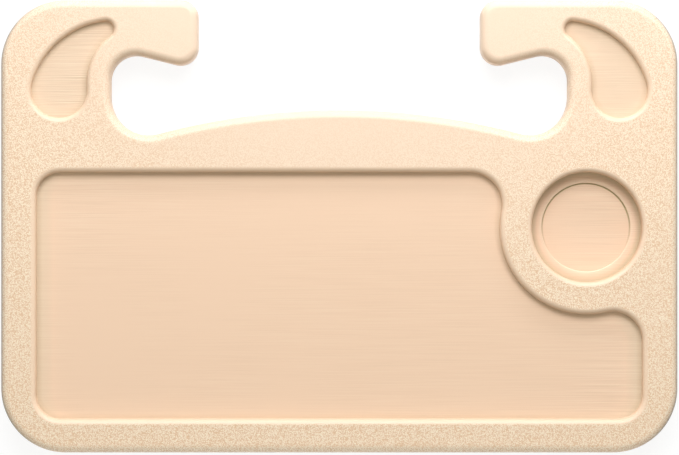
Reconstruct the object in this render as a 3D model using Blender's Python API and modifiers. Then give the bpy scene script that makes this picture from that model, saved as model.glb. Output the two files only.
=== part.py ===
"""Steering wheel tray: a moulded tray shell and a moulded base shell that meet at a lapped seam.

The tray lies face up. X runs across it, Y runs from its front edge to its hooks, and Z is up.
The origin is on the surface that it lies on, under the middle of its bounding box.
Every outline is a closed path round a few discs: material lies inside a convex disc and
outside a hollow one, and the path between two discs is their common tangent.
"""

import math

import bmesh
import bpy
from mathutils import Matrix, Vector

# Whole tray, metres
TRAY_WIDTH = 0.420
TRAY_DEPTH = 0.281
THICKNESS = 0.023
CORNER_RADIUS = 0.040
EDGE_RADIUS = 0.005
WALL = 0.0025

# Hooks that hang on the rim of a steering wheel, from the tray's side to the tongue's tip
HOOK_WIDTH = 0.0677
TONGUE_REACH = 0.0545
TONGUE_HANG = 0.0060
TONGUE_BACK_SHARE = 0.194
TONGUE_TIP_SHARE = 0.207

# Throats under the tongues, down from the back edge, and the arch that rises between them
THROAT_TOP = 0.0342
THROAT_HEIGHT = 0.0498
THROAT_TOP_SHARE = 0.317
THROAT_BOTTOM_SHARE = 0.482
ARCH_RISE = 0.0155

# Main recess, measured to the foot of its wall
RECESS_SIDE_BORDER = 0.0218
RECESS_FRONT_BORDER = 0.0208
RECESS_THROAT_BORDER = 0.0230
RECESS_CORNER_RADIUS = 0.0150
RECESS_NECK_RADIUS = 0.0199
RECESS_SHOULDER_RADIUS = 0.0186
RECESS_DEPTH = 0.0060
RECESS_LIP_RADIUS = 0.0040
FLOOR_FILLET = 0.0004

# Cup well, with a shallow round seat in its floor and a band of rim round it
CUP_SIDE_BORDER = 0.0220
CUP_CENTRE_Y = -0.0006
CUP_RADIUS = 0.0343
CUP_DEPTH = 0.0110
CUP_LIP_RADIUS = 0.0040
CUP_BAND = 0.0197
SEAT_RADIUS = 0.0276
SEAT_DEPTH = 0.0012

# Bean-shaped pockets beside the hooks
POCKET_SIDE_BORDER = 0.0186
POCKET_THROAT_BORDER = 0.0143
POCKET_LOBE_DROP = 0.0559
POCKET_TIP_SHARE = 0.962
POCKET_TIP_DROP_SHARE = 0.526
POCKET_TIP_RADIUS = 0.0050
POCKET_BACK_RADIUS = 0.0544
POCKET_WAIST_RADIUS = 0.0367
POCKET_DEPTH = 0.0050
POCKET_LIP_RADIUS = 0.0036
LIP_MOST_SHARE = 0.95

# Lapped seam between the shells, and the running gap of every fit
SEAM_HEIGHT = 0.0090
LAP_WIDTH = 0.0011
LAP_HEIGHT = 0.0025
FIT_GAP = 0.0003

# Waffle of ribs on the base
RIB_COLUMNS = 8
RIB_ROWS = 5
RIB_WALL = 0.0016
RIB_MARGIN = 0.0070
RIB_ROOT = 0.0010

# Pins on the base, and the sockets of the tray that they enter
PIN_RADIUS = 0.0022
PIN_TIP_RADIUS = 0.0018
PIN_TIP_GAP = 0.0020
SOCKET_RADIUS = 0.0045
SOCKET_FOOT = 0.0100
SOCKET_WELL_GAP = 0.0010
PIN_INSET = 0.0111
SIDE_PIN_SHARES = (-0.55, -0.14, 0.27)
FRONT_PIN_SHARES = (-0.72, -0.26, 0.26, 0.72)
ARCH_PIN_SHARES = (-0.74, 0.0, 0.74)
TONGUE_PIN_SHARE = 0.34

# Moulded colour and finish
PLASTIC_COLOUR = (0.87, 0.64, 0.46, 1.0)
PLASTIC_ROUGHNESS = 0.55
SHARP_ANGLE = math.radians(35)

# Drafting limits
CHORD_ERROR = 0.00015
SHOWN_STEPS = 4
HIDDEN_STEPS = 1
PIN_SIDES = 10
OVERRUN = 0.0010
SAME_POINT = 0.00001

HALF_WIDTH = TRAY_WIDTH / 2
HALF_DEPTH = TRAY_DEPTH / 2
CEILING = THICKNESS - WALL

# Hooks and throats, right of the middle
THROAT_X = HALF_WIDTH - HOOK_WIDTH
THROAT_BOTTOM = THROAT_TOP + THROAT_HEIGHT
THROAT_TOP_RADIUS = THROAT_TOP_SHARE * THROAT_HEIGHT
THROAT_BOTTOM_RADIUS = THROAT_BOTTOM_SHARE * THROAT_HEIGHT
TONGUE_X = THROAT_X - TONGUE_REACH
TONGUE_BACK_RADIUS = TONGUE_BACK_SHARE * TONGUE_REACH
TONGUE_TIP_RADIUS = TONGUE_TIP_SHARE * TONGUE_REACH

# Centres of the cup well and of the right pocket's two ends
CUP_CENTRE_X = HALF_WIDTH - CUP_SIDE_BORDER - CUP_RADIUS
POCKET_LOBE_RADIUS = (HOOK_WIDTH - POCKET_SIDE_BORDER - POCKET_THROAT_BORDER) / 2
POCKET_LOBE_X = HALF_WIDTH - POCKET_SIDE_BORDER - POCKET_LOBE_RADIUS
POCKET_LOBE_Y = HALF_DEPTH - POCKET_LOBE_DROP
POCKET_TIP_X = HALF_WIDTH - POCKET_TIP_SHARE * HOOK_WIDTH
POCKET_TIP_Y = HALF_DEPTH - POCKET_TIP_DROP_SHARE * THROAT_TOP

UP = Vector((0.0, 0.0, 1.0))

PARTS = "steering_wheel_tray"
CUTTERS = "cutters"


def convex(x, y, radius):
    """A disc with the material inside it."""
    return x, y, radius


def hollow(x, y, radius):
    """A disc with the material outside it, which its negative radius says."""
    return x, y, -radius


def mirrored(discs):
    """The same discs across the middle, in the order that keeps their path anticlockwise."""
    return [(-x, y, radius) for x, y, radius in reversed(discs)]


def meeting_point(first, first_reach, second, second_reach):
    """Where circles of these radii round two points meet, to the right of the line between them."""
    across, up = second[0] - first[0], second[1] - first[1]
    apart = math.hypot(across, up)
    along = (first_reach**2 - second_reach**2 + apart**2) / (2 * apart)
    aside = math.sqrt(first_reach**2 - along**2)
    x = first[0] + (across * along + up * aside) / apart
    y = first[1] + (up * along - across * aside) / apart
    return x, y


def tangent_angle(here, there):
    """Direction of the outward normal that two neighbouring discs share on their tangent."""
    across, up = there[0] - here[0], there[1] - here[1]
    lean = (here[2] - there[2]) / math.hypot(across, up)
    return math.atan2(up, across) - math.acos(max(-1.0, min(1.0, lean)))


def outline(discs, inset):
    """Points of the closed path round the discs, anticlockwise, moved into the material by inset.

    It has the same points at any inset, so that two of these paths can be bridged.
    """
    points = []
    for index, (x, y, radius) in enumerate(discs):
        after = discs[(index + 1) % len(discs)]
        start, sweep = 0.0, math.tau
        if len(discs) > 1:
            start = tangent_angle(discs[index - 1], discs[index])
            sweep = (tangent_angle(discs[index], after) - start) % math.tau
        if radius < 0:
            sweep -= math.tau
        half_step = math.acos(1 - min(1.0, CHORD_ERROR / abs(radius)))
        steps = math.ceil(abs(sweep) / (2 * half_step))
        straight_squared = (after[0] - x) ** 2 + (after[1] - y) ** 2 - (radius - after[2]) ** 2
        shares_end = straight_squared < SAME_POINT**2
        for step in range(steps if shares_end else steps + 1):
            angle = start + sweep * step / steps
            reach = radius - inset
            points.append((x + reach * math.cos(angle), y + reach * math.sin(angle)))
    return points


def arch_disc():
    """The arch between the hooks: it passes through its crown and touches both throats."""
    throat_x = THROAT_X - THROAT_BOTTOM_RADIUS
    drop = THROAT_BOTTOM_RADIUS - ARCH_RISE
    radius = (throat_x**2 + drop**2 - THROAT_BOTTOM_RADIUS**2) / (2 * ARCH_RISE)
    return convex(0.0, HALF_DEPTH - THROAT_BOTTOM + ARCH_RISE - radius, radius)


def body_discs():
    """The tray's outer edge: four corners, two hooks and the arch between them."""
    throat_top = HALF_DEPTH - THROAT_TOP
    throat_bottom = HALF_DEPTH - THROAT_BOTTOM
    tongue_foot = throat_top - TONGUE_HANG
    corner_x, corner_y = HALF_WIDTH - CORNER_RADIUS, HALF_DEPTH - CORNER_RADIUS
    right_side = [
        convex(corner_x, -corner_y, CORNER_RADIUS),
        convex(corner_x, corner_y, CORNER_RADIUS),
        convex(TONGUE_X + TONGUE_BACK_RADIUS, HALF_DEPTH - TONGUE_BACK_RADIUS, TONGUE_BACK_RADIUS),
        convex(TONGUE_X + TONGUE_TIP_RADIUS, tongue_foot + TONGUE_TIP_RADIUS, TONGUE_TIP_RADIUS),
        hollow(THROAT_X - THROAT_TOP_RADIUS, throat_top - THROAT_TOP_RADIUS, THROAT_TOP_RADIUS),
        hollow(
            THROAT_X - THROAT_BOTTOM_RADIUS, throat_bottom + THROAT_BOTTOM_RADIUS, THROAT_BOTTOM_RADIUS
        ),
    ]
    return [*right_side, arch_disc(), *mirrored(right_side)]


def recess_discs():
    """The main recess: a rounded rectangle whose back right corner gives way to the cup's band."""
    side = HALF_WIDTH - RECESS_SIDE_BORDER
    front = RECESS_FRONT_BORDER - HALF_DEPTH
    back = HALF_DEPTH - THROAT_BOTTOM - RECESS_THROAT_BORDER
    band_radius = CUP_RADIUS + CUP_BAND
    corner = RECESS_CORNER_RADIUS
    shoulder_x = side - RECESS_SHOULDER_RADIUS
    shoulder_reach = band_radius + RECESS_SHOULDER_RADIUS
    shoulder_y = CUP_CENTRE_Y - math.sqrt(shoulder_reach**2 - (shoulder_x - CUP_CENTRE_X) ** 2)
    neck_y = back - RECESS_NECK_RADIUS
    neck_reach = band_radius + RECESS_NECK_RADIUS
    neck_x = CUP_CENTRE_X - math.sqrt(neck_reach**2 - (neck_y - CUP_CENTRE_Y) ** 2)
    return [
        convex(corner - side, front + corner, corner),
        convex(side - corner, front + corner, corner),
        convex(shoulder_x, shoulder_y, RECESS_SHOULDER_RADIUS),
        hollow(CUP_CENTRE_X, CUP_CENTRE_Y, band_radius),
        convex(neck_x, neck_y, RECESS_NECK_RADIUS),
        convex(corner - side, back - corner, corner),
    ]


def cup_discs():
    """The round cup well."""
    return [convex(CUP_CENTRE_X, CUP_CENTRE_Y, CUP_RADIUS)]


def pocket_discs():
    """The left pocket: a wide lobe and a narrow tip, with a full back and a drawn-in waist."""
    lobe = (-POCKET_LOBE_X, POCKET_LOBE_Y)
    tip = (-POCKET_TIP_X, POCKET_TIP_Y)
    waist = meeting_point(
        lobe, POCKET_WAIST_RADIUS + POCKET_LOBE_RADIUS, tip, POCKET_WAIST_RADIUS + POCKET_TIP_RADIUS
    )
    back = meeting_point(
        lobe, POCKET_BACK_RADIUS - POCKET_LOBE_RADIUS, tip, POCKET_BACK_RADIUS - POCKET_TIP_RADIUS
    )
    return [
        convex(*lobe, POCKET_LOBE_RADIUS),
        hollow(*waist, POCKET_WAIST_RADIUS),
        convex(*tip, POCKET_TIP_RADIUS),
        convex(*back, POCKET_BACK_RADIUS),
    ]


def pin_places():
    """Where the pins and sockets stand, in the rim round the recess and in the tongues."""
    side_x = HALF_WIDTH - PIN_INSET
    places = [(x, share * HALF_DEPTH) for x in (-side_x, side_x) for share in SIDE_PIN_SHARES]
    places += [(share * HALF_WIDTH, PIN_INSET - HALF_DEPTH) for share in FRONT_PIN_SHARES]
    arch_x, arch_y, arch_radius = arch_disc()
    recess_lip = HALF_DEPTH - THROAT_BOTTOM - RECESS_THROAT_BORDER + RECESS_LIP_RADIUS
    for share in ARCH_PIN_SHARES:
        x = share * THROAT_X
        arch_edge = arch_y + math.sqrt(arch_radius**2 - (x - arch_x) ** 2) - EDGE_RADIUS
        places.append((x, (arch_edge + recess_lip) / 2))
    tongue_x = TONGUE_X + TONGUE_PIN_SHARE * TONGUE_REACH
    places += [(x, HALF_DEPTH - THROAT_TOP / 2) for x in (-tongue_x, tongue_x)]
    return places


def arc(centre_inset, centre_height, radius, start, end, steps):
    """Points of a section along an arc, as inset from the outline and height."""
    angles = [start + (end - start) * step / steps for step in range(steps + 1)]
    return [
        (centre_inset + radius * math.cos(angle), centre_height + radius * math.sin(angle))
        for angle in angles
    ]


def hollow_section(depth, lip_radius, wall):
    """Section of a recess, from its lip to its floor, on the surface that lies wall below the skin."""
    steps = HIDDEN_STEPS if wall else SHOWN_STEPS
    full_lip = min(lip_radius, LIP_MOST_SHARE * (depth - FLOOR_FILLET))
    lip = max(full_lip - wall, FIT_GAP)
    fillet_height = THICKNESS - depth + FLOOR_FILLET
    return [
        *arc(-wall - lip, THICKNESS - wall - lip, lip, math.pi / 2, 0.0, steps),
        *arc(FLOOR_FILLET, fillet_height, FLOOR_FILLET + wall, math.pi, math.pi * 3 / 2, HIDDEN_STEPS),
    ]


def cup_section(wall):
    """Section of the cup well, which goes on down a slope to the seat in its floor."""
    seat_inset = CUP_RADIUS - SEAT_RADIUS - wall * math.tan(math.pi / 8)
    ledge_height = THICKNESS - CUP_DEPTH - wall
    return [
        *hollow_section(CUP_DEPTH, CUP_LIP_RADIUS, wall),
        (seat_inset, ledge_height),
        (seat_inset + SEAT_DEPTH, ledge_height - SEAT_DEPTH),
    ]


def hollows(wall):
    """Outline and section of every recess in the face, on the surface that lies wall below the skin."""
    pocket = pocket_discs()
    pocket_section = hollow_section(POCKET_DEPTH, POCKET_LIP_RADIUS, wall)
    return [
        (recess_discs(), hollow_section(RECESS_DEPTH, RECESS_LIP_RADIUS, wall)),
        (cup_discs(), cup_section(wall)),
        (pocket, pocket_section),
        (mirrored(pocket), pocket_section),
    ]


def loft(mesh, discs, section):
    """Carries the section round the outline, and returns the loops of edges where it starts and ends."""
    rings = [
        [mesh.verts.new((x, y, height)) for x, y in outline(discs, inset)]
        for inset, height in section
    ]
    for ring, next_ring in zip(rings, rings[1:]):
        for index in range(len(ring)):
            mesh.faces.new((ring[index - 1], ring[index], next_ring[index], next_ring[index - 1]))
    return [
        [mesh.edges.get((ring[index - 1], ring[index])) for index in range(len(ring))]
        for ring in (rings[0], rings[-1])
    ]


def closed_loft(mesh, discs, section):
    """Carries the section round the outline and closes both its ends."""
    for loop in loft(mesh, discs, section):
        bmesh.ops.edgeloop_fill(mesh, edges=loop)


def collection(name):
    """The collection of that name, made at its first use."""
    found = bpy.data.collections.get(name)
    if not found:
        found = bpy.data.collections.new(name)
        bpy.context.scene.collection.children.link(found)
    return found


def placed(mesh, name, group):
    """Makes the mesh an object, with its faces turned outwards."""
    bmesh.ops.recalc_face_normals(mesh, faces=mesh.faces)
    data = bpy.data.meshes.new(name)
    mesh.to_mesh(data)
    mesh.free()
    made = bpy.data.objects.new(name, data)
    collection(group).objects.link(made)
    return made


def tool(mesh, name):
    """A solid that only cuts or builds up another."""
    made = placed(mesh, name, CUTTERS)
    made.hide_render = True
    made.display_type = "WIRE"
    return made


def combine(target, operation, operand):
    """Cuts or builds up the target with another solid."""
    modifier = target.modifiers.new(operand.name, "BOOLEAN")
    modifier.operation = operation
    modifier.solver = "EXACT"
    modifier.object = operand


def studs(name, low, low_radius, high, high_radius):
    """A round stud at each pin's place, between two heights."""
    mesh = bmesh.new()
    for x, y in pin_places():
        bmesh.ops.create_cone(
            mesh,
            cap_ends=True,
            segments=PIN_SIDES,
            radius1=low_radius,
            radius2=high_radius,
            depth=high - low,
            matrix=Matrix.Translation((x, y, (low + high) / 2)),
        )
    return tool(mesh, name)


def rib_cells():
    """The cells between the ribs, as one pattern of blocks."""
    pitch_x, pitch_y = TRAY_WIDTH / RIB_COLUMNS, TRAY_DEPTH / RIB_ROWS
    mesh = bmesh.new()
    block = (pitch_x - RIB_WALL, pitch_y - RIB_WALL, 2 * THICKNESS, 1.0)
    bmesh.ops.create_cube(mesh, size=1.0, matrix=Matrix.Diagonal(block))
    cells = tool(mesh, "rib_cells")
    cells.location = (pitch_x / 2 - HALF_WIDTH, pitch_y / 2 - HALF_DEPTH, THICKNESS / 2)
    for name, count, step in (
        ("columns", RIB_COLUMNS, (pitch_x, 0.0, 0.0)),
        ("rows", RIB_ROWS, (0.0, pitch_y, 0.0)),
    ):
        pattern = cells.modifiers.new(name, "ARRAY")
        pattern.count = count
        pattern.use_relative_offset = False
        pattern.use_constant_offset = True
        pattern.constant_offset_displace = step
    return cells


def hollow_clearances():
    """The room that the undersides of the recesses need above the ribs."""
    mesh = bmesh.new()
    for discs, section in hollows(WALL + FIT_GAP):
        top_inset, _ = section[0]
        closed_loft(mesh, discs, [(top_inset, THICKNESS), *section])
    return tool(mesh, "hollow_clearances")


def ribs():
    """Waffle of ribs that stands on the base, joins its wall and follows the tray's underside."""
    mesh = bmesh.new()
    shoulder = SEAM_HEIGHT - RIB_ROOT
    corner = arc(
        EDGE_RADIUS, EDGE_RADIUS, EDGE_RADIUS - WALL + RIB_ROOT, math.pi, math.pi * 3 / 2, HIDDEN_STEPS
    )
    section = [(RIB_MARGIN, CEILING - FIT_GAP), (RIB_MARGIN, shoulder), (WALL - RIB_ROOT, shoulder), *corner]
    closed_loft(mesh, body_discs(), section)
    made = tool(mesh, "ribs")
    combine(made, "DIFFERENCE", rib_cells())
    combine(made, "DIFFERENCE", hollow_clearances())
    well_radius = SOCKET_RADIUS + SOCKET_WELL_GAP
    wells = studs("socket_wells", SOCKET_FOOT - FIT_GAP, well_radius, THICKNESS, well_radius)
    combine(made, "DIFFERENCE", wells)
    return made


def plastic(name):
    """Moulded plastic with a soft sheen."""
    material = bpy.data.materials.new(name)
    material.use_nodes = True
    surface = material.node_tree.nodes["Principled BSDF"]
    surface.inputs["Base Color"].default_value = PLASTIC_COLOUR
    surface.inputs["Roughness"].default_value = PLASTIC_ROUGHNESS
    surface.inputs["Metallic"].default_value = 0.0
    material.diffuse_color = PLASTIC_COLOUR
    return material


def finish(part, material):
    """Gives a finished shell its plastic and its smooth rounds."""
    part.data.materials.append(material)
    part.data.shade_smooth()
    part.data.set_sharp_from_angle(angle=SHARP_ANGLE)


def make_tray_shell():
    """The face with its recesses, the rounded edge, and the side wall down to the lapped seam."""
    lap_foot = SEAM_HEIGHT + FIT_GAP
    lap_top = lap_foot + LAP_HEIGHT
    edge_height = THICKNESS - EDGE_RADIUS
    section = [
        *arc(EDGE_RADIUS, edge_height, EDGE_RADIUS, math.pi / 2, math.pi, SHOWN_STEPS),
        (0.0, lap_foot),
        (LAP_WIDTH, lap_foot),
        (LAP_WIDTH, lap_top),
        (WALL, lap_top),
        *arc(EDGE_RADIUS, edge_height, EDGE_RADIUS - WALL, math.pi, math.pi / 2, HIDDEN_STEPS),
    ]
    mesh = bmesh.new()
    outer_rim, inner_rim = loft(mesh, body_discs(), section)
    for wall, rim in ((0.0, outer_rim), (WALL, inner_rim)):
        face = list(rim)
        for discs, hollow_profile in hollows(wall):
            lip, foot = loft(mesh, discs, hollow_profile)
            bmesh.ops.edgeloop_fill(mesh, edges=foot)
            face += lip
        bmesh.ops.triangle_fill(mesh, edges=face, use_beauty=True, normal=UP)
    shell = placed(mesh, "tray_shell", PARTS)
    root = CEILING + RIB_ROOT
    combine(shell, "UNION", studs("socket_bosses", SOCKET_FOOT, SOCKET_RADIUS, root, SOCKET_RADIUS))
    bore = PIN_RADIUS + FIT_GAP
    combine(shell, "DIFFERENCE", studs("socket_bores", SOCKET_FOOT - OVERRUN, bore, CEILING - FIT_GAP, bore))
    finish(shell, plastic("tray_plastic"))


def make_base_shell():
    """The flat back with its rounded edge, the lip that enters the tray, the ribs and the pins."""
    lip_inset = LAP_WIDTH + FIT_GAP
    lip_top = SEAM_HEIGHT + LAP_HEIGHT
    section = [
        *arc(EDGE_RADIUS, EDGE_RADIUS, EDGE_RADIUS, math.pi * 3 / 2, math.pi, SHOWN_STEPS),
        (0.0, SEAM_HEIGHT),
        (lip_inset, SEAM_HEIGHT),
        (lip_inset, lip_top),
        (WALL, lip_top),
        *arc(EDGE_RADIUS, EDGE_RADIUS, EDGE_RADIUS - WALL, math.pi, math.pi * 3 / 2, HIDDEN_STEPS),
    ]
    mesh = bmesh.new()
    closed_loft(mesh, body_discs(), section)
    shell = placed(mesh, "base_shell", PARTS)
    combine(shell, "UNION", ribs())
    root = WALL - RIB_ROOT
    collar_top = SOCKET_FOOT - FIT_GAP
    combine(shell, "UNION", studs("pin_collars", root, SOCKET_RADIUS, collar_top, SOCKET_RADIUS))
    pins = studs("pins", collar_top - RIB_ROOT, PIN_RADIUS, CEILING - PIN_TIP_GAP, PIN_TIP_RADIUS)
    combine(shell, "UNION", pins)
    finish(shell, plastic("base_plastic"))


def main():
    """Clears the scene and builds the tray."""
    for old in list(bpy.data.objects):
        bpy.data.objects.remove(old)
    make_tray_shell()
    make_base_shell()


main()
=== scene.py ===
"""Studio scene of a steering wheel tray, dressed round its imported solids.

Lengths are in metres. X runs across the tray, Y from its front edge to its hooks, and Z up.
"""

import math
from collections import namedtuple

import bmesh
import bpy
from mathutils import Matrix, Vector


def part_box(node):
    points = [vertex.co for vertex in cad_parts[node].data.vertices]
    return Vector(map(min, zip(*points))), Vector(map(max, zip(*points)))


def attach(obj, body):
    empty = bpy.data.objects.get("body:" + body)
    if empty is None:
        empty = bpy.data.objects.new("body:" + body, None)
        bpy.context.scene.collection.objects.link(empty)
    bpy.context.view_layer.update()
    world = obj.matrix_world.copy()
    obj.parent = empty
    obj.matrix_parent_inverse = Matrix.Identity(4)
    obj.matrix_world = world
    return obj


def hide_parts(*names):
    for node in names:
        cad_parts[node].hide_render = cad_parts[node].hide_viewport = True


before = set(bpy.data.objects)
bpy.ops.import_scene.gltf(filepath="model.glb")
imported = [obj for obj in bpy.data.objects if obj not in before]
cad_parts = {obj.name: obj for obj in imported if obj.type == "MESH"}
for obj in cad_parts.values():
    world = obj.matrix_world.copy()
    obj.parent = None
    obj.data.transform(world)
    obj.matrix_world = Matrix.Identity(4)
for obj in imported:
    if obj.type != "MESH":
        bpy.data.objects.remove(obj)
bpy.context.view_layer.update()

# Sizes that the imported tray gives
tray_low, tray_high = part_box("tray_shell")
HALF_WIDTH = tray_high.x
HALF_DEPTH = tray_high.y
THICKNESS = tray_high.z
SEAM_FOOT = tray_low.z

# Wall, rounded edge and lapped seam
WALL = 0.0025
CORNER_RADIUS = 0.040
EDGE_RADIUS = 0.005
LAP_WIDTH = 0.0011
LAP_HEIGHT = 0.0025
FIT_GAP = 0.0003
SEAM_ROUND = 0.0003
DRAFT = 0.00002

# Hooks: distances from the back edge and the middle
THROAT_X = 0.1423
THROAT_TOP = 0.0342
THROAT_TOP_RADIUS = 0.01579
THROAT_BOTTOM = 0.0840
THROAT_BOTTOM_RADIUS = 0.0240
TONGUE_X = 0.0878
TONGUE_FOOT = 0.0402
TONGUE_BACK_RADIUS = 0.0106
TONGUE_TIP_RADIUS = 0.0113
ARCH_RISE = 0.0155

# Main recess, measured to the foot of its wall
RECESS_SIDE_BORDER = 0.0218
RECESS_FRONT_BORDER = 0.0208
RECESS_BACK_BORDER = 0.1070
RECESS_CORNER_RADIUS = 0.0150
RECESS_NECK_RADIUS = 0.0199
RECESS_SHOULDER_RADIUS = 0.0186
RECESS_DEPTH = 0.0060
RECESS_LIP_RADIUS = 0.0034
FLOOR_FILLET = 0.0004

# Cup well and the seat in its floor
CUP_CENTRE_X = 0.1537
CUP_CENTRE_Y = -0.0006
CUP_RADIUS = 0.0343
CUP_DEPTH = 0.0110
CUP_LIP_RADIUS = 0.0029
CUP_BAND = 0.0197
SEAT_RADIUS = 0.0276
SEAT_DEPTH = 0.0012
SEAT_ROUND = 0.0006
SEAT_CREASE = 0.0005

# Bean-shaped pockets
POCKET_LOBE_X = 0.1740
POCKET_LOBE_Y = 0.0846
POCKET_LOBE_RADIUS = 0.0174
POCKET_TIP_X = 0.1449
POCKET_TIP_Y = 0.1225
POCKET_TIP_RADIUS = 0.0050
POCKET_BACK_RADIUS = 0.0544
POCKET_WAIST_RADIUS = 0.0367
POCKET_DEPTH = 0.0050
POCKET_LIP_RADIUS = 0.0031

# Fineness of the meshes
CHORD_ERROR = 0.000012
ROUND_STEPS = 10
FILLET_STEPS = 3
STEP_STEPS = 3
HIDDEN_STEPS = 3
FLAT_MARGIN = 0.0003
SAME_POINT = 0.000001
SHARP_ANGLE = math.radians(40)

# Rings of a recess's section, counted from its lip: the first of the fillet at the foot of its
# wall, the last of it, where the floor starts, and the first of the step round the cup's seat
FOOT_RING = ROUND_STEPS + 1
FLOOR_RING = FOOT_RING + FILLET_STEPS
STEP_RING = FLOOR_RING + 2

# Share of the pebbled grain that is left on each ring of a recess's lip, from the rim inwards
GRAIN_SHARES = (1.0, 0.55, 0.15)

# Painted shade in the creases at the feet of the walls: its width, and how strong each recess has
# it
CREASE_SHADE_WIDTH = 0.0034
RECESS_CREASE_SHADE = 0.50
CUP_CREASE_SHADE = 0.85
POCKET_CREASE_SHADE = 0.45

# Painted shade, soft, on the floors next to the walls: its width in the main recess, and how strong
# it is on each ring of a floor, from the wall inwards
SHADE_WIDTH = 0.0100
RECESS_SHADES = (0.50, 0.50, 0.0)
CUP_SHADES = (0.45, 0.0)
POCKET_SHADES = (0.35, 0.35)

# The main recess has that shade at its two sides only: how far from the middle it starts to grow,
# and over what distance
SIDE_SHADE_START = 0.170
SIDE_SHADE_REACH = 0.014

# Rings of a recess's lip, from the rim inwards: how much rubbing each shows, a pale tint that is
# partly wear and partly a painted highlight
LIP_RUBBED_AND_HIGHLIGHT = (0.0, 0.2, 0.4, 0.6, 0.7, 0.8, 0.8, 0.6, 0.4, 0.2, 0.0)

# Painted shade on the sides of the tray's outer edge: how far from the middle it starts to grow,
# over what distance, and how strong it is on each ring of the edge, from the face outwards
EDGE_SIDE_SHADE_START = 0.183
EDGE_SIDE_SHADE_REACH = 0.020
EDGE_SIDE_SHADE = (0.0, 0.0, 0.0, 0.0, 0.0, 0.2, 0.7, 1.2, 1.5, 1.6, 0.5, 0.0)

# Rings of the step round the cup's seat, from the ledge inwards: how much pale tint each has,
# partly wear and partly a painted highlight, and how much painted shade. The painted shade grows
# towards the hooks, from this place and over this distance.
STEP_RUBBED_AND_HIGHLIGHT = (0.6, 1.0, 1.0, 0.6, 0.0, 0.0, 0.0)
STEP_CREASE_SHADE = (0.0, 0.0, 0.5, 1.4, 2.0, 2.0, 0.0)
STEP_FADE_START = CUP_CENTRE_Y - SEAT_RADIUS / 2
STEP_FADE_REACH = SEAT_RADIUS

# Plastic, as linear colours
SMOOTH_COLOUR = (0.892, 0.647, 0.478, 1.0)
GRAINED_COLOUR = (0.910, 0.722, 0.570, 1.0)
# Pits are tinted darker and tips paler: the grain's own mottling, with painted shade in the pits
# and painted highlights on the tips
PIT_TONE_AND_SHADE_COLOUR = (0.790, 0.545, 0.350, 1.0)
TIP_TONE_AND_HIGHLIGHT_COLOUR = (1.000, 0.880, 0.700, 1.0)
CLOUD_COLOUR = (0.820, 0.585, 0.420, 1.0)
# Painted shade in the creases at the feet of the walls and round the cup's seat
CREASE_SHADE_COLOUR = (0.360, 0.275, 0.120, 1.0)
# Painted shade on the floors next to the walls
SHADE_COLOUR = (0.480, 0.500, 0.370, 1.0)
CUT_COLOUR = (0.640, 0.450, 0.310, 1.0)
# Painted shade on the sides of the tray's outer edge
EDGE_SHADE_COLOUR = (0.200, 0.170, 0.130, 1.0)
# Pale tint on worn lips and the seat's step, partly wear and partly a painted highlight, also used
# for light streaks
RUBBED_AND_HIGHLIGHT_COLOUR = (0.950, 0.780, 0.600, 1.0)

# How strongly each tint covers the plastic
PIT_STRENGTH = 1.00
TIP_STRENGTH = 1.00
STREAK_STRENGTH = 0.40
CUT_STRENGTH = 0.30
CLOUD_STRENGTH = 0.40
CREASE_AND_EDGE_SHADE_STRENGTH = 0.50
SHADE_STRENGTH = 0.50
RUBBED_AND_HIGHLIGHT_STRENGTH = 0.50

# Roughness, and the pebbled grain: a ramp is where a mask is nothing and where it is full
SMOOTH_ROUGHNESS = 0.38
GRAINED_ROUGHNESS = 0.42
PEBBLE_SIZE = 0.00070
PEBBLE_JUMBLE = 0.7
PEBBLE_DEPTH = 0.00014
PIT_RAMP = (0.50, 0.30)
TIP_RAMP = (0.43, 0.73)

# Wear of the pebbles and polish of the streaks: where each is centred, the distances between which
# the texture comes back, and the least share of it that is left
WORN_CENTRE = (0.0, 0.20, THICKNESS)
WORN_RADII = (0.10, 0.27)
WORN_LEAST = 0.03
POLISHED_CENTRE = (0.0, -0.05, THICKNESS)
POLISHED_RADII = (0.13, 0.22)
POLISHED_LEAST = 0.30

# Streaks of the cutter, and the clouds that they come and go with
STREAK_LENGTH = 0.045
STREAK_WIDTH = 0.0006
STREAK_DEPTH = 0.000180
STREAK_DETAIL = 2.0
STREAK_ROUGHNESS = 0.5
DRAWN_RAMP = (0.50, 0.65)
CUT_RAMP = (0.50, 0.36)
CLOUD_SCALE = 9.0
CLOUD_DETAIL = 3.0
CLOUD_ROUGHNESS = 0.55
PATCH_RAMP = (0.28, 0.56)

# Camera: the frame's size, the tray's middle and its width in it, all in pixels, then in metres its
# distance, and in millimetres its sensor
IMAGE_WIDTH = 679
IMAGE_HEIGHT = 455
TRAY_MIDDLE_PX = (339.3, 226.3)
TRAY_WIDTH_PX = 676.0
CAMERA_DISTANCE = 1.9
SENSOR_WIDTH = 36.0

# Colours of light
WHITE = (1.0, 1.0, 1.0)
WARM = (0.98, 0.97, 0.80)

# Lamps: name, azimuth and elevation in degrees, distance, width and height, power, and colour
LAMPS = (
    ("key_softbox", 4, 51, 1.50, (1.40, 0.80), 21.2, WHITE),
    ("back_strip", 8, 20, 0.60, (0.90, 0.14), 2.0, WHITE),
    ("front_softbox", 180, 52, 1.40, (1.30, 0.60), 2.4, WARM),
    ("front_edge_strip", 180, 2, 0.36, (0.60, 0.012), 0.30, WHITE),
    ("left_softbox", -95, 50, 1.40, (0.75, 0.50), 2.6, WARM),
    ("right_softbox", 95, 45, 1.40, (0.75, 0.50), 1.7, WARM),
)

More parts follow.
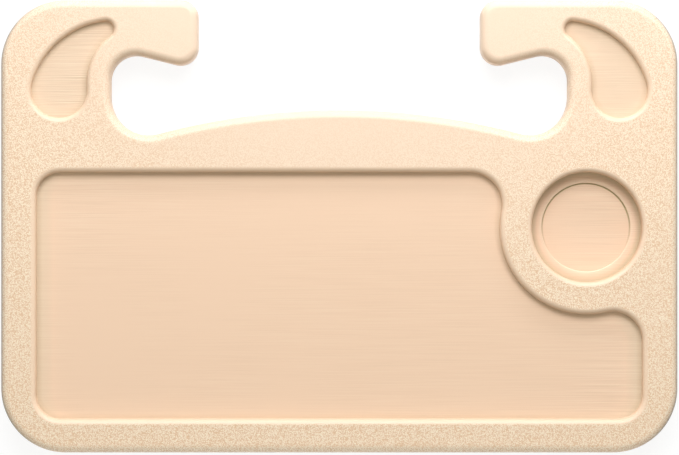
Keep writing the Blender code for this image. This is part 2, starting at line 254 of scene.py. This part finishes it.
# Fill from the surroundings, and the floor with the look that it has where it is seen directly
FILL_STRENGTH = 0.03
FLOOR_HALF_SIZE = 4.0
FLOOR_DROP = 0.0002
FLOOR_COLOUR = (0.80, 0.80, 0.80, 1.0)
FLOOR_SEEN_COLOUR = (0.16, 0.16, 0.16, 1.0)
FLOOR_SEEN_GLOW = 0.88

Recess = namedtuple("Recess", "discs section crease shades step_rubbed step_crease")


def convex(x, y, radius):
    """A disc with the material inside it."""
    return x, y, radius


def hollow(x, y, radius):
    """A disc with the material outside it, which its negative radius says."""
    return x, y, -radius


def mirrored(discs):
    """The same discs across the middle, in the order that keeps their path anticlockwise."""
    return [(-x, y, radius) for x, y, radius in reversed(discs)]


def meeting_point(first, first_reach, second, second_reach):
    """Where circles of these radii round two points meet, to the right of the line between them."""
    across, up = second[0] - first[0], second[1] - first[1]
    apart = math.hypot(across, up)
    along = (first_reach**2 - second_reach**2 + apart**2) / (2 * apart)
    aside = math.sqrt(first_reach**2 - along**2)
    x = first[0] + (across * along + up * aside) / apart
    y = first[1] + (up * along - across * aside) / apart
    return x, y


def tangent_angle(here, there):
    """Direction of the outward normal that two neighbouring discs share on their tangent."""
    across, up = there[0] - here[0], there[1] - here[1]
    lean = (here[2] - there[2]) / math.hypot(across, up)
    return math.atan2(up, across) - math.acos(max(-1.0, min(1.0, lean)))


def body_discs():
    """The tray's outer edge: four corners, two hooks and the arch between them."""
    back = HALF_DEPTH
    corner_x, corner_y = HALF_WIDTH - CORNER_RADIUS, back - CORNER_RADIUS
    tip_y = back - TONGUE_FOOT + TONGUE_TIP_RADIUS
    throat_top_y = back - THROAT_TOP - THROAT_TOP_RADIUS
    throat_x = THROAT_X - THROAT_BOTTOM_RADIUS
    right_side = [
        convex(corner_x, -corner_y, CORNER_RADIUS),
        convex(corner_x, corner_y, CORNER_RADIUS),
        convex(TONGUE_X + TONGUE_BACK_RADIUS, back - TONGUE_BACK_RADIUS, TONGUE_BACK_RADIUS),
        convex(TONGUE_X + TONGUE_TIP_RADIUS, tip_y, TONGUE_TIP_RADIUS),
        hollow(THROAT_X - THROAT_TOP_RADIUS, throat_top_y, THROAT_TOP_RADIUS),
        hollow(throat_x, back - THROAT_BOTTOM + THROAT_BOTTOM_RADIUS, THROAT_BOTTOM_RADIUS),
    ]
    drop = THROAT_BOTTOM_RADIUS - ARCH_RISE
    arch_radius = (throat_x**2 + drop**2 - THROAT_BOTTOM_RADIUS**2) / (2 * ARCH_RISE)
    arch = convex(0.0, back - THROAT_BOTTOM + ARCH_RISE - arch_radius, arch_radius)
    return [*right_side, arch, *mirrored(right_side)]


def recess_discs():
    """The main recess: a rounded rectangle whose back right corner gives way to the cup's band."""
    side = HALF_WIDTH - RECESS_SIDE_BORDER
    front = RECESS_FRONT_BORDER - HALF_DEPTH
    back = HALF_DEPTH - RECESS_BACK_BORDER
    band_radius = CUP_RADIUS + CUP_BAND
    corner = RECESS_CORNER_RADIUS
    shoulder_x = side - RECESS_SHOULDER_RADIUS
    shoulder_reach = band_radius + RECESS_SHOULDER_RADIUS
    shoulder_y = CUP_CENTRE_Y - math.sqrt(shoulder_reach**2 - (shoulder_x - CUP_CENTRE_X) ** 2)
    neck_y = back - RECESS_NECK_RADIUS
    neck_reach = band_radius + RECESS_NECK_RADIUS
    neck_x = CUP_CENTRE_X - math.sqrt(neck_reach**2 - (neck_y - CUP_CENTRE_Y) ** 2)
    return [
        convex(corner - side, front + corner, corner),
        convex(side - corner, front + corner, corner),
        convex(shoulder_x, shoulder_y, RECESS_SHOULDER_RADIUS),
        hollow(CUP_CENTRE_X, CUP_CENTRE_Y, band_radius),
        convex(neck_x, neck_y, RECESS_NECK_RADIUS),
        convex(corner - side, back - corner, corner),
    ]


def pocket_discs():
    """The left pocket: a wide lobe and a narrow tip, with a full back and a drawn-in waist."""
    lobe = (-POCKET_LOBE_X, POCKET_LOBE_Y)
    tip = (-POCKET_TIP_X, POCKET_TIP_Y)
    waist = meeting_point(
        lobe, POCKET_WAIST_RADIUS + POCKET_LOBE_RADIUS, tip, POCKET_WAIST_RADIUS + POCKET_TIP_RADIUS
    )
    back = meeting_point(
        lobe, POCKET_BACK_RADIUS - POCKET_LOBE_RADIUS, tip, POCKET_BACK_RADIUS - POCKET_TIP_RADIUS
    )
    return [
        convex(*lobe, POCKET_LOBE_RADIUS),
        hollow(*waist, POCKET_WAIST_RADIUS),
        convex(*tip, POCKET_TIP_RADIUS),
        convex(*back, POCKET_BACK_RADIUS),
    ]


def drawn_path(discs, inset, height):
    """The closed path round the discs, moved into the material by inset, as a wire.

    Each arc is spun about its disc, in as many steps at any inset, so that paths can be bridged.
    """
    path = bmesh.new()
    path_ends = []
    for index, (x, y, radius) in enumerate(discs):
        after = discs[(index + 1) % len(discs)]
        start, sweep = 0.0, math.tau
        if len(discs) > 1:
            start = tangent_angle(discs[index - 1], discs[index])
            sweep = (tangent_angle(discs[index], after) - start) % math.tau
        if radius < 0:
            sweep -= math.tau
        steps = math.ceil(abs(sweep) / (2 * math.acos(1 - CHORD_ERROR / abs(radius))))
        reach = radius - inset
        first = Vector((x + reach * math.cos(start), y + reach * math.sin(start), height))
        vert = bmesh.ops.create_vert(path, co=first)["vert"][0]
        spun = bmesh.ops.spin(
            path, geom=[vert], cent=(x, y, height), axis=(0.0, 0.0, 1.0), angle=sweep, steps=steps
        )
        last = next(item for item in spun["geom_last"] if isinstance(item, bmesh.types.BMVert))
        path_ends.append((vert, last))
    for index, (vert, _) in enumerate(path_ends):
        last = path_ends[index - 1][1]
        if (vert.co - last.co).length > SAME_POINT:
            path.edges.new((last, vert))
    bmesh.ops.remove_doubles(path, verts=path.verts, dist=SAME_POINT)
    wire = bpy.data.meshes.new("path")
    path.to_mesh(wire)
    path.free()
    return wire


def arc(centre_inset, centre_height, radius, start, end, steps):
    """Points of a section along an arc, as inset from the outline and height."""
    angles = [start + (end - start) * step / steps for step in range(steps + 1)]
    return [
        (centre_inset + radius * math.cos(angle), centre_height + radius * math.sin(angle))
        for angle in angles
    ]


def hollow_section(depth, lip_radius, wall, shade_width=0.0):
    """Section of a recess, from lip to floor, on the surface that lies wall below the skin.

    The skin has a ring more on its floor, where the painted shade at the wall's foot ends, and one
    where any painted shade beside the walls ends.
    """
    steps = HIDDEN_STEPS if wall else ROUND_STEPS
    lip = lip_radius - wall
    fillet_height = THICKNESS - depth + FLOOR_FILLET
    fillet = FLOOR_FILLET + wall
    section = [
        *arc(-wall - lip, THICKNESS - wall - lip, lip, math.pi / 2, 0.0, steps),
        *arc(FLOOR_FILLET, fillet_height, fillet, math.pi, math.pi * 3 / 2, FILLET_STEPS),
    ]
    if not wall:
        section.append((FLOOR_FILLET + CREASE_SHADE_WIDTH, THICKNESS - depth - DRAFT))
    if shade_width and not wall:
        section.append((FLOOR_FILLET + shade_width, THICKNESS - depth - 2 * DRAFT))
    return section


def cup_section(wall):
    """Section of the cup well, which goes on over a small step to the seat in its floor."""
    step_inset = CUP_RADIUS - SEAT_RADIUS - wall
    ledge_height = THICKNESS - CUP_DEPTH - wall - 2 * DRAFT
    seat_height = ledge_height - SEAT_DEPTH
    return [
        *hollow_section(CUP_DEPTH, CUP_LIP_RADIUS, wall),
        *arc(
            step_inset - SEAT_ROUND,
            ledge_height - SEAT_ROUND,
            SEAT_ROUND,
            math.pi / 2,
            0.0,
            STEP_STEPS,
        ),
        (step_inset + DRAFT, seat_height + DRAFT),
        (step_inset + SEAT_CREASE, seat_height),
        (step_inset + SEAT_CREASE * 2, seat_height - DRAFT),
    ]


def recesses(wall):
    """Each recess in the face with its shares of painted shade and highlight, on the surface that
    lies wall below the skin.
    """
    main_section = hollow_section(RECESS_DEPTH, RECESS_LIP_RADIUS, wall, SHADE_WIDTH)
    cup = [convex(CUP_CENTRE_X, CUP_CENTRE_Y, CUP_RADIUS)]
    pocket = pocket_discs()
    pocket_section = hollow_section(POCKET_DEPTH, POCKET_LIP_RADIUS, wall)
    return [
        Recess(recess_discs(), main_section, RECESS_CREASE_SHADE, RECESS_SHADES, (), ()),
        Recess(cup, cup_section(wall), CUP_CREASE_SHADE, CUP_SHADES, STEP_RUBBED_AND_HIGHLIGHT, STEP_CREASE_SHADE),
        Recess(pocket, pocket_section, POCKET_CREASE_SHADE, POCKET_SHADES, (), ()),
        Recess(mirrored(pocket), pocket_section, POCKET_CREASE_SHADE, POCKET_SHADES, (), ()),
    ]


def skin(mesh, discs, section):
    """Carries the section round the outline, and returns all its rings of edges."""
    rings = []
    for inset, height in section:
        wire = drawn_path(discs, inset, height)
        mesh.from_mesh(wire)
        mesh.edges.ensure_lookup_table()
        rings.append(mesh.edges[-len(wire.edges):])
        bpy.data.meshes.remove(wire)
    for ring, next_ring in zip(rings, rings[1:]):
        bmesh.ops.bridge_loops(mesh, edges=ring + next_ring)
    return rings


def flat_fill(mesh, edges):
    """Fills a flat face, with a narrow margin that keeps the shading of the rounds out of it."""
    made = bmesh.ops.triangle_fill(mesh, edges=edges, use_beauty=True, normal=(0.0, 0.0, 1.0))
    faces = [item for item in made["geom"] if isinstance(item, bmesh.types.BMFace)]
    bmesh.ops.inset_region(mesh, faces=faces, thickness=FLAT_MARGIN, use_even_offset=True)


def finish(mesh, name, node, material):
    """Makes the mesh a smooth-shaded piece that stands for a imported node."""
    bmesh.ops.recalc_face_normals(mesh, faces=mesh.faces)
    data = bpy.data.meshes.new(name)
    mesh.to_mesh(data)
    mesh.free()
    data.materials.append(material)
    data.shade_smooth()
    data.set_sharp_from_angle(angle=SHARP_ANGLE)
    piece = bpy.data.objects.new(name, data)
    bpy.context.scene.collection.objects.link(piece)
    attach(piece, "root")
    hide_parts(node)


def set_share(layer, rings, shares):
    """Writes how much of a finish, painted shade or painted highlight each ring of a section
    carries.
    """
    for ring, share in zip(rings, shares):
        for edge in ring:
            for vert in edge.verts:
                vert[layer] = share


def fade(layer, rings, place, start, reach):
    """Lets a painted shade grow from nothing at start to its full share, as the place of a point
    says.
    """
    for vert in {vert for ring in rings for edge in ring for vert in edge.verts}:
        vert[layer] *= min(max(place(vert.co) - start, 0.0) / reach, 1.0)


def from_middle(point):
    """Distance of a point from the plane between the tray's two halves."""
    return abs(point.x)


def towards_hooks(point):
    """How far a point lies from the middle of the tray's depth, towards its hooks."""
    return point.y


def finish_layers(mesh):
    """Layers for the grain, the painted shade in the creases, the worn tint that is partly a
    painted highlight, the painted shade on the edge's sides and the painted shade beside the walls.
    """
    names = ("grain", "crease", "rubbed", "edge", "shaded")
    return [mesh.verts.layers.float.new(name) for name in names]


def finish_recess(recess, rings, crease, rubbed, shaded):
    """Writes a recess's worn lip, partly a painted highlight, its painted shade in the creases and
    beside the walls, and its step's, into their layers.
    """
    set_share(rubbed, rings, LIP_RUBBED_AND_HIGHLIGHT)
    # Painted shade in the creases at the foot of the wall, and beside the walls on the floor
    foot = rings[FOOT_RING:FLOOR_RING + 1]
    set_share(crease, foot, [recess.crease] * len(foot))
    floor = rings[FLOOR_RING:]
    set_share(shaded, floor, recess.shades)
    if recess.shades is RECESS_SHADES:
        fade(shaded, floor, from_middle, SIDE_SHADE_START, SIDE_SHADE_REACH)
    # On the step: a pale tint that is partly a painted highlight, and painted shade that grows
    # towards the hooks
    step = rings[STEP_RING:]
    set_share(rubbed, step, recess.step_rubbed)
    set_share(crease, step, recess.step_crease)
    fade(crease, step, towards_hooks, STEP_FADE_START, STEP_FADE_REACH)


def make_tray_moulding(material):
    """The face with its recesses, the rounded edge and the wall down to the lapped seam."""
    mesh = bmesh.new()
    grain, crease, rubbed, edge, shaded = finish_layers(mesh)
    edge_height = THICKNESS - EDGE_RADIUS
    lap_top = SEAM_FOOT + LAP_HEIGHT
    section = [
        *arc(EDGE_RADIUS, edge_height, EDGE_RADIUS, math.pi / 2, math.pi, ROUND_STEPS),
        (0.0, SEAM_FOOT + SEAM_ROUND),
        (SEAM_ROUND, SEAM_FOOT),
        (LAP_WIDTH, SEAM_FOOT + DRAFT),
        (LAP_WIDTH + DRAFT, lap_top),
        (WALL, lap_top + DRAFT),
        *arc(EDGE_RADIUS, edge_height, EDGE_RADIUS - WALL, math.pi, math.pi / 2, HIDDEN_STEPS),
    ]
    rings = skin(mesh, body_discs(), section)
    set_share(grain, rings, [1.0] * len(rings))
    # Painted shade on the sides of the outer edge, growing away from the middle
    set_share(edge, rings, EDGE_SIDE_SHADE)
    fade(edge, rings, from_middle, EDGE_SIDE_SHADE_START, EDGE_SIDE_SHADE_REACH)
    for wall, rim in ((0.0, rings[0]), (WALL, rings[-1])):
        face = list(rim)
        for recess in recesses(wall):
            recess_rings = skin(mesh, recess.discs, recess.section)
            set_share(grain, recess_rings, GRAIN_SHARES)
            if not wall:
                finish_recess(recess, recess_rings, crease, rubbed, shaded)
            flat_fill(mesh, recess_rings[-1])
            face += recess_rings[0]
        flat_fill(mesh, face)
    finish(mesh, "tray_moulding", "tray_shell", material)


def make_base_moulding(material):
    """The flat back with its rounded edge, and the lip that enters the tray's lap."""
    mesh = bmesh.new()
    grain = finish_layers(mesh)[0]
    seam_height = SEAM_FOOT - FIT_GAP
    lip_inset = LAP_WIDTH + FIT_GAP
    lip_top = seam_height + LAP_HEIGHT
    section = [
        *arc(EDGE_RADIUS, EDGE_RADIUS, EDGE_RADIUS, math.pi * 3 / 2, math.pi, ROUND_STEPS),
        (0.0, seam_height - SEAM_ROUND),
        (SEAM_ROUND, seam_height),
        (lip_inset, seam_height + DRAFT),
        (lip_inset + DRAFT, lip_top),
        (WALL, lip_top + DRAFT),
        *arc(EDGE_RADIUS, EDGE_RADIUS, EDGE_RADIUS - WALL, math.pi, math.pi * 3 / 2, HIDDEN_STEPS),
    ]
    rings = skin(mesh, body_discs(), section)
    set_share(grain, rings, [1.0] * len(rings))
    flat_fill(mesh, rings[0])
    flat_fill(mesh, rings[-1])
    finish(mesh, "base_moulding", "base_shell", material)


def new_group(name, inputs, outputs):
    """An empty shader node group with its named inputs and outputs."""
    group = bpy.data.node_groups.new(name, "ShaderNodeTree")
    for socket_name, kind, value in inputs:
        socket = group.interface.new_socket(socket_name, in_out="INPUT", socket_type=kind)
        if value is not None:
            socket.default_value = value
    for socket_name, kind in outputs:
        group.interface.new_socket(socket_name, in_out="OUTPUT", socket_type=kind)
    return group


def add_node(tree, kind, **settings):
    """A node with the given properties, and input values where a setting names a socket."""
    node = tree.nodes.new(kind)
    for name, value in settings.items():
        if hasattr(node, name):
            setattr(node, name, value)
        else:
            node.inputs[name.replace("_", " ").title()].default_value = value
    return node


def math_node(tree, operation, first, second):
    """A Math node on two sockets or numbers, and its output."""
    node = tree.nodes.new("ShaderNodeMath")
    node.operation = operation
    for socket, value in zip(node.inputs, (first, second)):
        if isinstance(value, (int, float)):
            socket.default_value = value
        else:
            tree.links.new(value, socket)
    return node.outputs[0]


def blended(tree, share, first, second):
    """A colour between two, each a socket or four numbers."""
    node = tree.nodes.new("ShaderNodeMix")
    node.data_type = "RGBA"
    tree.links.new(share, node.inputs["Factor"])
    for name, value in (("A", first), ("B", second)):
        if isinstance(value, tuple):
            node.inputs[name].default_value = value
        else:
            tree.links.new(value, node.inputs[name])
    return node.outputs["Result"]


def ramp(tree, value, none, full):
    """A soft mask that is nothing where the value is none, and one where it is full."""
    mask = add_node(tree, "ShaderNodeMapRange", interpolation_type="SMOOTHSTEP")
    mask.inputs["From Min"].default_value = none
    mask.inputs["From Max"].default_value = full
    tree.links.new(value, mask.inputs["Value"])
    return mask.outputs["Result"]


def pebble_group():
    """Fine pebbled grain of a textured mould: its height, and masks of its pits and its tips."""
    group = new_group(
        "pebbled_mould",
        [("Vector", "NodeSocketVector", None), ("Size", "NodeSocketFloat", PEBBLE_SIZE)],
        [("Height", "NodeSocketFloat"), ("Pits", "NodeSocketFloat"), ("Tips", "NodeSocketFloat")],
    )
    source = group.nodes.new("NodeGroupInput")
    result = group.nodes.new("NodeGroupOutput")
    scale = math_node(group, "DIVIDE", 1.0, source.outputs["Size"])
    cells = add_node(group, "ShaderNodeTexVoronoi", feature="F1", randomness=PEBBLE_JUMBLE)
    group.links.new(source.outputs["Vector"], cells.inputs["Vector"])
    group.links.new(scale, cells.inputs["Scale"])
    height = math_node(group, "SUBTRACT", 1.0, cells.outputs["Distance"])
    group.links.new(height, result.inputs["Height"])
    for name, limits in (("Pits", PIT_RAMP), ("Tips", TIP_RAMP)):
        group.links.new(ramp(group, height, *limits), result.inputs[name])
    return group


def streak_group():
    """Faint long streaks that the cutter left across the smooth floors of the mould."""
    group = new_group(
        "drawn_streaks",
        [
            ("Vector", "NodeSocketVector", None),
            ("Length", "NodeSocketFloat", STREAK_LENGTH),
            ("Width", "NodeSocketFloat", STREAK_WIDTH),
        ],
        [("Height", "NodeSocketFloat")],
    )
    source = group.nodes.new("NodeGroupInput")
    result = group.nodes.new("NodeGroupOutput")
    stretch = group.nodes.new("ShaderNodeCombineXYZ")
    for axis, size in (("X", "Length"), ("Y", "Width"), ("Z", "Width")):
        share = math_node(group, "DIVIDE", 1.0, source.outputs[size])
        group.links.new(share, stretch.inputs[axis])
    drawn = add_node(group, "ShaderNodeVectorMath", operation="MULTIPLY")
    group.links.new(source.outputs["Vector"], drawn.inputs[0])
    group.links.new(stretch.outputs["Vector"], drawn.inputs[1])
    noise = add_node(
        group, "ShaderNodeTexNoise", scale=1.0, detail=STREAK_DETAIL, roughness=STREAK_ROUGHNESS
    )
    group.links.new(drawn.outputs["Vector"], noise.inputs["Vector"])
    group.links.new(noise.outputs["Fac"], result.inputs["Height"])
    return group


def wear_group():
    """Share of a texture that wear has left: least round its centre, and all of it far away."""
    group = new_group(
        "worn_smooth",
        [
            ("Vector", "NodeSocketVector", None),
            ("Centre", "NodeSocketVector", WORN_CENTRE),
            ("Worn Radius", "NodeSocketFloat", WORN_RADII[0]),
            ("Fresh Radius", "NodeSocketFloat", WORN_RADII[1]),
            ("Least Left", "NodeSocketFloat", WORN_LEAST),
        ],
        [("Left", "NodeSocketFloat")],
    )
    source = group.nodes.new("NodeGroupInput")
    result = group.nodes.new("NodeGroupOutput")
    apart = add_node(group, "ShaderNodeVectorMath", operation="DISTANCE")
    group.links.new(source.outputs["Vector"], apart.inputs[0])
    group.links.new(source.outputs["Centre"], apart.inputs[1])
    left = add_node(group, "ShaderNodeMapRange", interpolation_type="SMOOTHSTEP")
    group.links.new(source.outputs["Worn Radius"], left.inputs["From Min"])
    group.links.new(source.outputs["Fresh Radius"], left.inputs["From Max"])
    group.links.new(source.outputs["Least Left"], left.inputs["To Min"])
    group.links.new(apart.outputs["Value"], left.inputs["Value"])
    group.links.new(left.outputs["Result"], result.inputs["Left"])
    return group


def plastic_material(name, pebbles, streaks, wear):
    """Beige moulded plastic: pebbled where the grain attribute says, and smooth elsewhere."""
    material = bpy.data.materials.new(name)
    material.use_nodes = True
    tree = material.node_tree
    surface = tree.nodes["Principled BSDF"]
    place = tree.nodes.new("ShaderNodeTexCoord").outputs["Object"]
    grain = add_node(tree, "ShaderNodeAttribute", attribute_name="grain").outputs["Fac"]
    smooth = math_node(tree, "SUBTRACT", 1.0, grain)

    pebble, streak, worn, polished = (
        add_node(tree, "ShaderNodeGroup", node_tree=group)
        for group in (pebbles, streaks, wear, wear)
    )
    for name, value in (
        ("Centre", POLISHED_CENTRE),
        ("Worn Radius", POLISHED_RADII[0]),
        ("Fresh Radius", POLISHED_RADII[1]),
        ("Least Left", POLISHED_LEAST),
    ):
        polished.inputs[name].default_value = value
    cloud = add_node(
        tree,
        "ShaderNodeTexNoise",
        scale=CLOUD_SCALE,
        detail=CLOUD_DETAIL,
        roughness=CLOUD_ROUGHNESS,
    )
    for node in (pebble, streak, worn, polished, cloud):
        tree.links.new(place, node.inputs["Vector"])
    relief = math_node(tree, "MULTIPLY", grain, worn.outputs["Left"])
    clouded = math_node(tree, "MULTIPLY", ramp(tree, cloud.outputs["Fac"], *PATCH_RAMP), smooth)
    patches = math_node(tree, "MULTIPLY", clouded, polished.outputs["Left"])

    pebble_height = math_node(tree, "MULTIPLY", pebble.outputs["Height"], relief)
    pebble_bump = add_node(tree, "ShaderNodeBump", distance=PEBBLE_DEPTH)
    tree.links.new(pebble_height, pebble_bump.inputs["Height"])
    streak_height = math_node(tree, "MULTIPLY", streak.outputs["Height"], patches)
    streak_bump = add_node(tree, "ShaderNodeBump", distance=STREAK_DEPTH)
    tree.links.new(streak_height, streak_bump.inputs["Height"])
    tree.links.new(pebble_bump.outputs["Normal"], streak_bump.inputs["Normal"])
    tree.links.new(streak_bump.outputs["Normal"], surface.inputs["Normal"])

    # Painted shade in the creases, beside the walls and on the outer edge's sides, and a pale tint
    # that is partly wear and partly a painted highlight
    crease, rubbed, edge, shaded = (
        add_node(tree, "ShaderNodeAttribute", attribute_name=name).outputs["Fac"]
        for name in ("crease", "rubbed", "edge", "shaded")
    )
    drawn, cut = (
        math_node(tree, "MULTIPLY", ramp(tree, streak.outputs["Height"], *limits), patches)
        for limits in (DRAWN_RAMP, CUT_RAMP)
    )
    colour = blended(tree, grain, SMOOTH_COLOUR, GRAINED_COLOUR)
    for mask, strength, tint in (
        (cloud.outputs["Fac"], CLOUD_STRENGTH, CLOUD_COLOUR),
        # Pits and tips: the grain's mottling, with painted shade in the pits and painted highlights
        # on the tips
        (math_node(tree, "MULTIPLY", pebble.outputs["Pits"], relief), PIT_STRENGTH, PIT_TONE_AND_SHADE_COLOUR),
        (math_node(tree, "MULTIPLY", pebble.outputs["Tips"], relief), TIP_STRENGTH, TIP_TONE_AND_HIGHLIGHT_COLOUR),
        (drawn, STREAK_STRENGTH, RUBBED_AND_HIGHLIGHT_COLOUR),
        (cut, CUT_STRENGTH, CUT_COLOUR),
        (shaded, SHADE_STRENGTH, SHADE_COLOUR),
        (crease, CREASE_AND_EDGE_SHADE_STRENGTH, CREASE_SHADE_COLOUR),
        (edge, CREASE_AND_EDGE_SHADE_STRENGTH, EDGE_SHADE_COLOUR),
        (rubbed, RUBBED_AND_HIGHLIGHT_STRENGTH, RUBBED_AND_HIGHLIGHT_COLOUR),
    ):
        colour = blended(tree, math_node(tree, "MULTIPLY", mask, strength), colour, tint)
    tree.links.new(colour, surface.inputs["Base Color"])

    gloss = add_node(tree, "ShaderNodeMapRange")
    gloss.inputs["To Min"].default_value = SMOOTH_ROUGHNESS
    gloss.inputs["To Max"].default_value = GRAINED_ROUGHNESS
    tree.links.new(grain, gloss.inputs["Value"])
    tree.links.new(gloss.outputs["Result"], surface.inputs["Roughness"])
    return material


def seen_directly(tree):
    """One where the camera, a reflection or a refraction looks, and zero for all other light."""
    path = tree.nodes.new("ShaderNodeLightPath")
    camera, mirror, through = (
        path.outputs[name] for name in ("Is Camera Ray", "Is Glossy Ray", "Is Transmission Ray")
    )
    return math_node(tree, "MAXIMUM", math_node(tree, "MAXIMUM", camera, mirror), through)


def make_floor():
    """Plain pale floor, which shows white round the tray and keeps its soft shadow."""
    mesh = bmesh.new()
    bmesh.ops.create_grid(mesh, x_segments=1, y_segments=1, size=FLOOR_HALF_SIZE)
    bmesh.ops.translate(mesh, verts=mesh.verts, vec=(0.0, 0.0, -FLOOR_DROP))
    data = bpy.data.meshes.new("studio_floor")
    mesh.to_mesh(data)
    mesh.free()
    floor = bpy.data.objects.new("studio_floor", data)
    bpy.context.scene.collection.objects.link(floor)

    material = bpy.data.materials.new("studio_floor")
    material.use_nodes = True
    tree = material.node_tree
    tree.nodes.clear()
    seen = seen_directly(tree)
    paint = tree.nodes.new("ShaderNodeMix")
    paint.data_type = "RGBA"
    paint.inputs["A"].default_value = FLOOR_COLOUR
    paint.inputs["B"].default_value = FLOOR_SEEN_COLOUR
    tree.links.new(seen, paint.inputs["Factor"])
    matt = tree.nodes.new("ShaderNodeBsdfDiffuse")
    tree.links.new(paint.outputs["Result"], matt.inputs["Color"])
    glow = tree.nodes.new("ShaderNodeEmission")
    tree.links.new(math_node(tree, "MULTIPLY", seen, FLOOR_SEEN_GLOW), glow.inputs["Strength"])
    both = tree.nodes.new("ShaderNodeAddShader")
    tree.links.new(matt.outputs["BSDF"], both.inputs[0])
    tree.links.new(glow.outputs["Emission"], both.inputs[1])
    output = tree.nodes.new("ShaderNodeOutputMaterial")
    tree.links.new(both.outputs["Shader"], output.inputs["Surface"])
    data.materials.append(material)


def make_world():
    """White surroundings: full white where they are seen, and a softer fill on the tray."""
    world = bpy.data.worlds.new("studio_world")
    world.use_nodes = True
    tree = world.node_tree
    background = tree.nodes["Background"]
    background.inputs["Color"].default_value = (1.0, 1.0, 1.0, 1.0)
    strength = add_node(tree, "ShaderNodeMapRange")
    strength.inputs["To Min"].default_value = FILL_STRENGTH
    strength.inputs["To Max"].default_value = 1.0
    tree.links.new(seen_directly(tree), strength.inputs["Value"])
    tree.links.new(strength.outputs["Result"], background.inputs["Strength"])
    bpy.context.scene.world = world


def aimed_lamp(name, azimuth, elevation, distance, size, power, colour):
    """A soft rectangular lamp that faces the tray's middle, from angles in degrees."""
    data = bpy.data.lights.new(name, "AREA")
    data.shape = "RECTANGLE"
    data.size, data.size_y = size
    data.energy = power
    data.color = colour
    lamp = bpy.data.objects.new(name, data)
    turn, tilt = math.radians(azimuth), math.radians(elevation)
    flat = math.cos(tilt)
    direction = Vector((math.sin(turn) * flat, math.cos(turn) * flat, math.sin(tilt)))
    lamp.location = direction * distance
    lamp.rotation_euler = direction.to_track_quat("Z", "Y").to_euler()
    bpy.context.scene.collection.objects.link(lamp)


def make_camera():
    """Looks straight down, so that the tray fills the frame as it does in the photograph."""
    metres_per_px = 2 * HALF_WIDTH / TRAY_WIDTH_PX
    data = bpy.data.cameras.new("studio_camera")
    data.sensor_width = SENSOR_WIDTH
    data.lens = SENSOR_WIDTH * CAMERA_DISTANCE / (IMAGE_WIDTH * metres_per_px)
    data.clip_end = 2 * FLOOR_HALF_SIZE
    camera = bpy.data.objects.new("studio_camera", data)
    middle_x, middle_y = TRAY_MIDDLE_PX
    camera.location = (
        (IMAGE_WIDTH / 2 - middle_x) * metres_per_px,
        (middle_y - IMAGE_HEIGHT / 2) * metres_per_px,
        CAMERA_DISTANCE + THICKNESS - EDGE_RADIUS,
    )
    bpy.context.scene.collection.objects.link(camera)
    bpy.context.scene.camera = camera


make_camera()
make_world()
make_floor()
for lamp in LAMPS:
    aimed_lamp(*lamp)
groups = pebble_group(), streak_group(), wear_group()
make_tray_moulding(plastic_material("tray_plastic", *groups))
make_base_moulding(plastic_material("base_plastic", *groups))
bpy.context.scene.view_settings.view_transform = "Standard"
